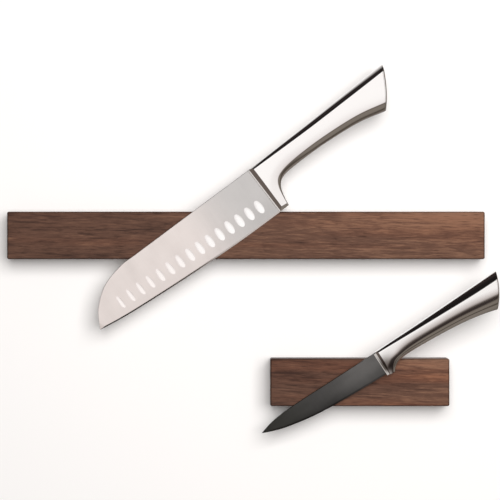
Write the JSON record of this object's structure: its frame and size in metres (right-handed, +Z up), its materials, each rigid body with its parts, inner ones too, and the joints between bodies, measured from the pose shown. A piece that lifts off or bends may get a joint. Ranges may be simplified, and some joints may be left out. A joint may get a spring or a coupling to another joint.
{
  "type": "magnetic knife rack",
  "caption": "Long and short walnut bars hung flat on a wall on hidden keyhole plates, their hidden magnets each holding an all-steel kitchen knife at a slant.",
  "frame": {"origin": "on the wall, at the centre of the long bar's back, where its rubber strip rests", "axes": "+Z up, +X to the right for someone facing the rack, +Y into the wall, so the bars' faces and the knives look towards -Y"},
  "size_m": [0.4002, 0.0756, 0.3021],
  "materials": {
    "walnut": "fine-sanded and oiled, satin",
    "walnut_back": "sanded, unoiled",
    "magnet_nickel": "nickel plated",
    "zinc_plate": "zinc plated",
    "zinc_screw": "zinc plated",
    "rubber": "matt",
    "nylon": "moulded",
    "blade_steel": "ground across the blade",
    "dark_blade_steel": "ground and dark in reflection",
    "polished_steel": "polished"
  },
  "bodies": {
    "wall_fixings": {"long_left_wall_screw": "zinc_screw", "long_left_wall_plug": "nylon", "long_right_wall_screw": "zinc_screw", "long_right_wall_plug": "nylon", "short_left_wall_screw": "zinc_screw", "short_left_wall_plug": "nylon", "short_right_wall_screw": "zinc_screw", "short_right_wall_plug": "nylon"},
    "long_rack": {"long_bar": "walnut", "long_back_cover": "walnut_back", "long_steel_yoke": "zinc_plate", "long_rubber_liner": "rubber", "long_magnet_01": "magnet_nickel", "long_magnet_02": "magnet_nickel", "long_magnet_03": "magnet_nickel", "long_magnet_04": "magnet_nickel", "long_magnet_05": "magnet_nickel", "long_magnet_06": "magnet_nickel", "long_magnet_07": "magnet_nickel", "long_magnet_08": "magnet_nickel", "long_magnet_09": "magnet_nickel", "long_magnet_10": "magnet_nickel", "long_magnet_11": "magnet_nickel", "long_magnet_12": "magnet_nickel", "long_magnet_13": "magnet_nickel", "long_magnet_14": "magnet_nickel", "long_magnet_15": "magnet_nickel", "long_left_hanger": "zinc_plate", "long_right_hanger": "zinc_plate", "long_cover_screws": "zinc_screw", "long_hanger_screws": "zinc_screw"},
    "short_rack": {"short_bar": "walnut", "short_back_cover": "walnut_back", "short_steel_yoke": "zinc_plate", "short_rubber_liner": "rubber", "short_magnet_01": "magnet_nickel", "short_magnet_02": "magnet_nickel", "short_magnet_03": "magnet_nickel", "short_magnet_04": "magnet_nickel", "short_magnet_05": "magnet_nickel", "short_left_hanger": "zinc_plate", "short_right_hanger": "zinc_plate", "short_cover_screws": "zinc_screw", "short_hanger_screws": "zinc_screw"},
    "santoku": {"santoku_blade": "blade_steel", "santoku_bolster": "polished_steel", "santoku_handle_front_shell": "polished_steel", "santoku_handle_rear_shell": "polished_steel", "santoku_butt_cap": "polished_steel"},
    "utility_knife": {"utility_blade": "dark_blade_steel", "utility_bolster": "polished_steel", "utility_handle_front_shell": "polished_steel", "utility_handle_rear_shell": "polished_steel", "utility_butt_cap": "polished_steel"}
  },
  "joints": [
    {"name": "long_rack_lift", "type": "slide", "parent": "wall_fixings", "child": "long_rack", "axis": [0, 0, 1], "range_m": [0, 0.0085]},
    {"name": "short_rack_lift", "type": "slide", "parent": "wall_fixings", "child": "short_rack", "axis": [0, 0, 1], "range_m": [0, 0.0085]},
    {"name": "santoku_pull_off", "type": "slide", "parent": "long_rack", "child": "santoku", "axis": [0, -1, 0], "range_m": [0, 0.06]},
    {"name": "utility_pull_off", "type": "slide", "parent": "short_rack", "child": "utility_knife", "axis": [0, -1, 0], "range_m": [0, 0.06]}
  ]
}
